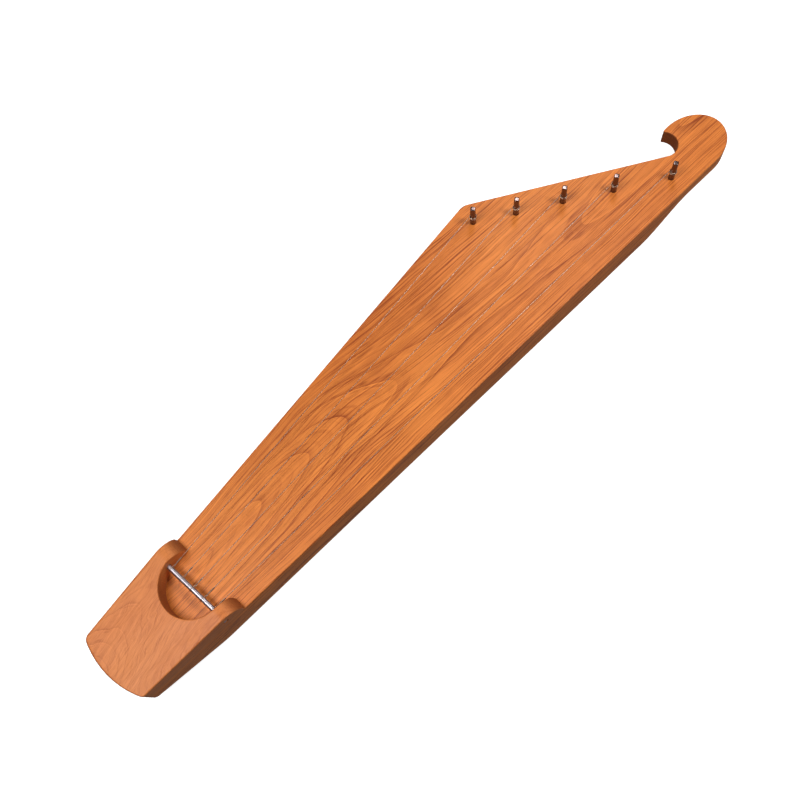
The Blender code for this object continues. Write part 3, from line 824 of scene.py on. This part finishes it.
def make_body():
    outline = divided(body_outline(), OUTLINE_STEP)
    beak = beak_point()
    upper, lower = [], []
    for t, w in outline:
        rim = ramp(t, *HEAD_RIM_BLEND, DECK_RIM, HEAD_RIM)
        rim = ramp(math.dist((t, w), beak), *BEAK_RIM_BLEND, BEAK_RIM, rim)
        past_block = along_block(t, w) - block_front_along()
        upper.append(ramp(past_block, *GLUED_RIM_BLEND, GLUED_RIM, rim))
        lower.append(ramp(t, *LOWER_RIM_BLEND, *LOWER_RIM))
    upper, lower = np.array(upper), np.array(lower)
    zeros = np.zeros(len(outline))
    rows = rim_rows(lower, zeros, False) + rim_rows(upper, zeros + BODY_DEPTH, True)
    body = skin("kantele_body", outline, rows)

    bm = bmesh.new()
    bm.from_mesh(body.data)
    bottom = [f for f in bm.faces if len(f.verts) == len(outline) and f.normal.z < 0]
    slice_face(bm, bottom, [place(t, 0) for t in UNDERSIDE_CUTS], Vector((1, 0, 0)))
    for v in bm.verts:
        if v.co.z < BODY_DEPTH / 3:
            v.co.z += underside_height(v.co.x + LENGTH / 2)
    bm.to_mesh(body.data)
    bm.free()

    hollow = divided(hollow_outline(), HOLLOW_STEP)
    zeros = np.zeros(len(hollow))
    ceiling = BODY_DEPTH - DECK_THICKNESS
    rows = [(zeros - HOLLOW_EASE, zeros - 2 * MM, 0)]
    for i in range(RIM_STEPS + 1):
        a = math.pi / 2 * i / RIM_STEPS
        ease = HOLLOW_EASE * (1 - math.sin(a))
        rows.append((zeros - ease, zeros + HOLLOW_EASE * (1 - math.cos(a)), math.sin(2 * a)))
    for i in range(RIM_STEPS + 1):
        a = math.pi / 2 * i / RIM_STEPS
        inset = HOLLOW_FILLET * (1 - math.cos(a))
        rows.append((zeros + inset, zeros + ceiling - HOLLOW_FILLET * (1 - math.sin(a)), 0))
    cutters = [skin("hollow", hollow, rows)]
    for number in range(1, len(PINS) + 1):
        low = pin_axis(number, BODY_DEPTH - PIN_BORE_DEPTH)
        high = pin_axis(number, BODY_DEPTH + CUTTER_REACH)
        cutters.append(bar_cutter(f"bore_{number}", PIN_RADIUS + PIN_BORE_GAP, low, high))
    cut_away(body, cutters)
    finish_mesh(body)
    dress(body, alder, "instrument", "oiled_alder", "body")


def make_tail_block():
    outline = divided(block_outline(), BLOCK_STEP)
    low, high = BODY_DEPTH + GLUE_LINE, BODY_DEPTH + BLOCK_HEIGHT
    centre = on_block_axis(0, 0)
    front = block_front_along()
    rims = []
    for t, w in outline:
        along = along_block(t, w)
        aside = (w - centre.y) * math.cos(AXIS_ANGLE) - (t - centre.x) * math.sin(AXIS_ANGLE)
        from_notch = math.dist((t, w), centre) if along < 0 else abs(aside)
        rim = ramp(w, 0, TAIL_WIDTH, *BLOCK_RIM)
        if from_notch < NOTCH_RADIUS + 0.5 * MM:
            rim = NOTCH_RIM
        rim = ramp(along, front - 4 * MM, front - 1 * MM, rim, min(rim, HORN_RIM))
        rims.append(rim)
    rims = np.array(rims)
    for _ in range(RIM_SMOOTHING):
        rims = (np.roll(rims, 1) + rims + np.roll(rims, -1)) / 3
    zeros = np.zeros(len(outline))
    rows = [(zeros, zeros + low, 0)] + rim_rows(rims, zeros + high, True)
    block = skin("kantele_tail_block", outline, rows)

    bm = bmesh.new()
    bm.from_mesh(block.data)
    top = [f for f in bm.faces if len(f.verts) == len(outline) and f.normal.z > 0]
    start = front - HORN_ROUNDING
    cuts = [on_block_axis(start + HORN_ROUNDING * math.sin(a), 0) for a in HORN_CUTS]
    axis = Vector((math.cos(AXIS_ANGLE), math.sin(AXIS_ANGLE), 0))
    slice_face(bm, top, [place(c.x, c.y) for c in cuts], axis)
    for v in bm.verts:
        if v.co.z > (low + high) / 2:
            along = along_block(v.co.x + LENGTH / 2, v.co.y + WIDTH / 2)
            past = min(max(along - start, 0), HORN_ROUNDING)
            v.co.z -= HORN_ROUNDING - math.sqrt(max(HORN_ROUNDING**2 - past**2, 0))
            v.co.z -= BLOCK_FALL * max(front - along, 0)
    bm.to_mesh(block.data)
    bm.free()
    near, far = rod_point(-CUTTER_REACH), rod_point(rod_far_w() + ROD_BLIND_GAP)
    cut_away(block, [bar_cutter("rod_bore", ROD_RADIUS + ROD_BORE_GAP, near, far)])
    finish_mesh(block)
    dress(block, block_alder, "instrument", "block_alder", "tail_block")


def rod_point(w):
    """The point of the rod's axis at a distance w from the straight side."""
    return place(ROD_START_T - w * math.tan(ROD_ANGLE), w, ROD_HEIGHT)


def rod_far_w():
    return NOTCH_CENTRE[1] + NOTCH_RADIUS + ROD_BLIND_DEPTH


def make_rod():
    start, end = rod_point(ROD_END_INSET), rod_point(rod_far_w())
    axis = end - start
    rows = [
        (0, ROD_RADIUS - ROD_CHAMFER),
        (ROD_CHAMFER_MIDDLE, ROD_RADIUS - 0.7 * ROD_CHAMFER),
        (ROD_CHAMFER, ROD_RADIUS),
        (axis.length - ROD_CHAMFER, ROD_RADIUS),
        (axis.length, ROD_RADIUS - ROD_CHAMFER),
    ]
    rod = turned("string_holder_rod", rows, lambda radius, angle: radius, start)
    rod.rotation_euler = axis.to_track_quat("Z", "Y").to_euler()
    finish_mesh(rod, 30)
    dress(rod, rod_steel, "instrument", "polished_steel", "string_rod")


def pin_axis(number, z=0.0):
    return place(*PINS[number - 1], z)


def level_direction(angle):
    return Vector((math.cos(angle), math.sin(angle), 0))


# the wire lies close on the pin and on itself
COIL_RADIUS = PIN_RADIUS + WIRE_RADIUS + 0.03 * MM
COIL_PITCH = 2 * WIRE_RADIUS + 0.02 * MM
COIL_STEPS = 36  # for one turn
WINDING_TURNS = (0, 0.8, 1, 3, 3.5)
WINDING_RISE = (0, 0, 1, 3, 4)
LOOP_RADIUS = ROD_RADIUS + WIRE_RADIUS + 0.03 * MM
LOOP_STEPS = 36
LOOP_APEX = 5.2 * MM  # distance from the rod's axis to where the loop closes
LOOP_CLOSING = 0.4 * MM
WRAP_START = LOOP_APEX + 0.9 * MM
WRAP_RADIUS = 2 * WIRE_RADIUS + 0.02 * MM
WRAP_TURNS = 8
WRAP_STEPS = 14  # for one turn
WRAP_PITCH = 0.62 * MM
OPEN_WIRE_SHARES = (0.1, 0.3, 0.5, 0.7, 0.9, 0.99)
ENTRY_BEND_RADIUS = 0.4 * MM  # where the wire turns into the string hole
ENTRY_STEPS = 8


def winding_height(turns):
    """How high the winding's wire lies after a number of turns."""
    return STRING_HEIGHT_AT_PIN + COIL_PITCH * (1 + np.interp(turns, WINDING_TURNS, WINDING_RISE))


def string_line(number):
    """Where a string's loop closes and where it first touches its coil, and its direction."""
    at_rod = rod_point(FIRST_STRING_W + STRING_SPACING * (number - 1))
    to_pin = pin_axis(number, ROD_HEIGHT) - at_rod
    angle = math.atan2(to_pin.y, to_pin.x) + math.asin(COIL_RADIUS / to_pin.length)
    reach = math.sqrt(to_pin.length**2 - COIL_RADIUS**2)
    touch = at_rod + level_direction(angle) * reach
    touch.z = STRING_HEIGHT_AT_PIN
    return at_rod, touch, angle


def winding_start(number):
    return string_line(number)[2] + math.pi / 2 - RING_SWEEP


def hole_angle(number):
    return winding_start(number) - math.tau * WINDING_TURNS[-1]


def on_coil(number, angle, z, radius=COIL_RADIUS):
    return pin_axis(number, z) + level_direction(angle) * radius


def make_string(number):
    """A string's fixed length: its loop round the rod, the wrapped end, the open wire, a turn."""
    at_rod, touch, angle = string_line(number)
    along = level_direction(angle)
    aside = level_direction(angle + math.pi / 2)
    up = Vector((0, 0, 1))
    points = []
    for i in range(WRAP_TURNS * WRAP_STEPS, -1, -1):
        turn = math.tau * i / WRAP_STEPS - math.pi / 2
        distance = WRAP_START + WRAP_PITCH * i / WRAP_STEPS
        offset = aside * math.cos(turn) + up * math.sin(turn)
        points.append(at_rod + along * distance + offset * WRAP_RADIUS)
    tangent = math.acos(LOOP_RADIUS / LOOP_APEX)
    for i in range(LOOP_STEPS + 1):
        turn = -tangent - (math.tau - 2 * tangent) * i / LOOP_STEPS
        points.append(at_rod + (along * math.cos(turn) + up * math.sin(turn)) * LOOP_RADIUS)
    points.append(at_rod + along * (LOOP_APEX - LOOP_CLOSING) + up * 0.12 * MM)
    points.append(at_rod + along * (LOOP_APEX + LOOP_CLOSING))
    for share in OPEN_WIRE_SHARES:
        points.append(at_rod.lerp(touch, share))
    points.append(touch)
    ring_steps = round(COIL_STEPS * RING_SWEEP / math.tau)
    for i in range(1, ring_steps + 1):
        turn = angle + math.pi / 2 - RING_SWEEP * i / ring_steps
        points.append(on_coil(number, turn, STRING_HEIGHT_AT_PIN))
    string = tube(f"steel_string_{number}", points, WIRE_RADIUS)
    dress(string, wire_with_painted_reflection, "instrument", "music_wire", f"string_{number}")


def make_winding(number):
    """The turns that move with the pin, and the end that goes into its string hole."""
    start, end = winding_start(number), hole_angle(number)
    bend_reach = COIL_RADIUS - ENTRY_BEND_RADIUS
    bend_start = end + math.asin(ENTRY_BEND_RADIUS / bend_reach)
    coil_turns = (start - bend_start) / math.tau
    steps = round(COIL_STEPS * coil_turns)
    points = []
    for i in range(steps + 1):
        turns = coil_turns * i / steps
        points.append(on_coil(number, start - math.tau * turns, winding_height(turns)))
    hole = winding_height(WINDING_TURNS[-1])
    centre = on_coil(number, bend_start, hole, bend_reach)
    for i in range(1, ENTRY_STEPS + 1):
        turn = bend_start + (end - math.pi / 2 - bend_start) * i / ENTRY_STEPS
        points.append(centre + level_direction(turn) * ENTRY_BEND_RADIUS)
    points.append(pin_axis(number, hole))
    origin = pin_axis(number, BODY_DEPTH)
    winding = tube(f"string_coil_{number}", points, WIRE_RADIUS, origin=origin)
    dress(winding, wire_with_painted_reflection, f"pin_{number}", "music_wire", f"string_winding_{number}")


def pin_outline(data, angle):
    """A pin's radius: round, or a square with the round blank left on its corners."""
    radius, flat = data
    local = (angle + math.pi / 4) % (math.pi / 2) - math.pi / 4
    return min(radius, flat / math.cos(local))


# the pin's parts, with heights above the deck
PIN_FOOT = -8 * MM
PIN_FOOT_SHARE = 0.9
THREAD_TOP = 1.9 * MM
THREAD_PITCH = 0.7 * MM
THREAD_CUTS = (0.0, 0.07, 0.13, 0.07)  # depths in millimetres round one pitch
NEVER_FLAT = 4 * MM
HEAD_FLAT_LOW, HEAD_FLAT_TOP = 2.24 * MM, 2.08 * MM
HEAD_CORNER_LOW, HEAD_CORNER_TOP = 2.5 * MM, 2.46 * MM
SHOULDER_STEPS = 6
DOME_STEPS = 4
DOME_RADIUS = 0.5 * MM
STRING_HOLE_RADIUS = 0.5 * MM
STRING_HOLE_SIDES = 24


def make_pin(number):
    """A zither pin: threaded round shank, milled square head with blended shoulders, domed top."""
    shoulder = PIN_ABOVE_DECK - PIN_HEAD_LENGTH
    rows = [(PIN_FOOT, (PIN_RADIUS * PIN_FOOT_SHARE, NEVER_FLAT))]
    z = PIN_FOOT
    i = 0
    while z < THREAD_TOP:
        z += THREAD_PITCH / len(THREAD_CUTS)
        i += 1
        cut = THREAD_CUTS[i % len(THREAD_CUTS)] * MM
        rows.append((z, (PIN_RADIUS - cut, NEVER_FLAT)))
    for height in (z + 0.2 * MM, shoulder - 2.2 * MM, shoulder - 0.6 * MM):
        rows.append((height, (PIN_RADIUS, NEVER_FLAT)))
    for k in range(SHOULDER_STEPS + 1):
        a = math.pi / 2 * k / SHOULDER_STEPS
        rise = 1.0 * MM * math.sin(a)
        flat = PIN_RADIUS - (PIN_RADIUS - HEAD_FLAT_LOW) * (1 - math.cos(a))
        rows.append((shoulder - 0.4 * MM + rise, (PIN_RADIUS, flat)))
    head_end = PIN_ABOVE_DECK - 0.55 * MM
    for share in (0.25, 0.5, 0.75, 1.0):
        height = shoulder + 0.6 * MM + (head_end - shoulder - 0.6 * MM) * share
        corner = HEAD_CORNER_LOW + (HEAD_CORNER_TOP - HEAD_CORNER_LOW) * share
        rows.append((height, (corner, HEAD_FLAT_LOW + (HEAD_FLAT_TOP - HEAD_FLAT_LOW) * share)))
    for k in range(1, DOME_STEPS + 1):
        a = math.pi / 2 * k / DOME_STEPS
        inset = DOME_RADIUS * (1 - math.cos(a))
        height = head_end + DOME_RADIUS * math.sin(a)
        rows.append((height, (HEAD_CORNER_TOP - inset, HEAD_FLAT_TOP - inset)))
    rows.append((PIN_ABOVE_DECK - 0.02 * MM, (0.9 * MM, 0.8 * MM)))
    pin = turned(f"zither_pin_{number}", rows, pin_outline, pin_axis(number, BODY_DEPTH))
    pin.rotation_euler.z = hole_angle(number)
    bpy.context.view_layer.update()
    across = level_direction(hole_angle(number)) * 4 * MM
    middle = pin_axis(number, winding_height(WINDING_TURNS[-1]))
    ends = middle - across, middle + across
    hole = bar_cutter(f"hole_{number}", STRING_HOLE_RADIUS, *ends, STRING_HOLE_SIDES)
    cut_away(pin, [hole])
    finish_mesh(pin, 28)
    dress(pin, pin_nickel, f"pin_{number}", "nickel_plate", f"tuning_pin_{number}")


# ---------------------------------------------------------------- stage


FLOOR_HALF = 4.0
FLOOR_GREY = (0.55, 0.55, 0.55, 1)
FLOOR_GLOW = 0.86
WORLD_COLOUR = (1.0, 0.98, 0.96, 1)
# strengths of the surroundings: the light of the pale floor below, and the dark studio above
WORLD_LEVELS = {"From Min": -0.15, "From Max": 0.05, "To Min": 0.2, "To Max": 0.05}
# name, place, target, diameter, watts, colour
LIGHTS = [
    ("overhead", (-0.52, 0.08, 0.95), (-0.1, 0, 0), 0.5, 7.6, (1, 1, 1)),
    ("key", (0.36, -0.31, 0.74), (0.1, 0, 0), 0.22, 3.5, (1, 1, 1)),
    ("far_softbox", (0.62, 0.34, 0.90), (0.15, 0, 0), 0.3, 2.7, (1, 1, 1)),
    ("low_fill", (0.72, -0.86, 0.26), (0.26, -0.06, 0), 0.35, 1.3, (0.86, 0.93, 1.0)),
]
CAMERA_PLACE = (-0.15954, -0.23401, 0.61100)
CAMERA_ANGLES = (21.554, 5.7096, -43.7416)
LENS_MM = 36


def area_light(name, location, target, size, power, colour):
    lamp = bpy.data.lights.new(name, "AREA")
    lamp.shape = "DISK"
    lamp.size = size
    lamp.energy = power
    lamp.color = colour
    made = new_object(name, lamp)
    made.location = location
    made.rotation_euler = (Vector(target) - Vector(location)).to_track_quat("-Z", "Y").to_euler()


def make_floor():
    """The floor looks pale but lights nothing: the surroundings give the light from below."""
    mesh = bpy.data.meshes.new("floor")
    corners = [(-1, -1), (1, -1), (1, 1), (-1, 1)]
    mesh.from_pydata([(x * FLOOR_HALF, y * FLOOR_HALF, 0) for x, y in corners], [], [(0, 1, 2, 3)])
    floor = new_object("floor", mesh)
    pale = bpy.data.materials.new("pale_floor")
    pale.use_nodes = True
    shader = pale.node_tree.nodes["Principled BSDF"]
    shader.inputs["Base Color"].default_value = FLOOR_GREY
    shader.inputs["Roughness"].default_value = 0.9
    shader.inputs["Specular IOR Level"].default_value = 0.0
    shader.inputs["Emission Color"].default_value = (1, 1, 1, 1)
    shader.inputs["Emission Strength"].default_value = FLOOR_GLOW
    mesh.materials.append(pale)
    floor.visible_diffuse = False
    floor.visible_glossy = False


def make_surroundings():
    world = bpy.data.worlds.new("studio")
    bpy.context.scene.world = world
    world.use_nodes = True
    nodes, links = world.node_tree.nodes, world.node_tree.links
    direction = nodes.new("ShaderNodeTexCoord")
    split = nodes.new("ShaderNodeSeparateXYZ")
    level = nodes.new("ShaderNodeMapRange")
    for socket, value in WORLD_LEVELS.items():
        level.inputs[socket].default_value = value
    links.new(direction.outputs["Generated"], split.inputs[0])
    links.new(split.outputs[2], level.inputs["Value"])
    links.new(level.outputs[0], nodes["Background"].inputs["Strength"])
    nodes["Background"].inputs["Color"].default_value = WORLD_COLOUR


def make_camera():
    lens = bpy.data.cameras.new("camera")
    lens.lens = LENS_MM
    lens.sensor_width = 36
    lens.clip_start = 0.01
    camera = new_object("camera", lens)
    camera.location = CAMERA_PLACE
    camera.rotation_euler = [math.radians(a) for a in CAMERA_ANGLES]
    bpy.context.scene.camera = camera


make_camera()
make_body()
make_tail_block()
make_rod()
for pin_number in range(1, len(PINS) + 1):
    make_pin(pin_number)
    make_string(pin_number)
    make_winding(pin_number)
make_floor()
make_surroundings()
for light in LIGHTS:
    area_light(*light)
bpy.context.scene.view_settings.view_transform = "Standard"
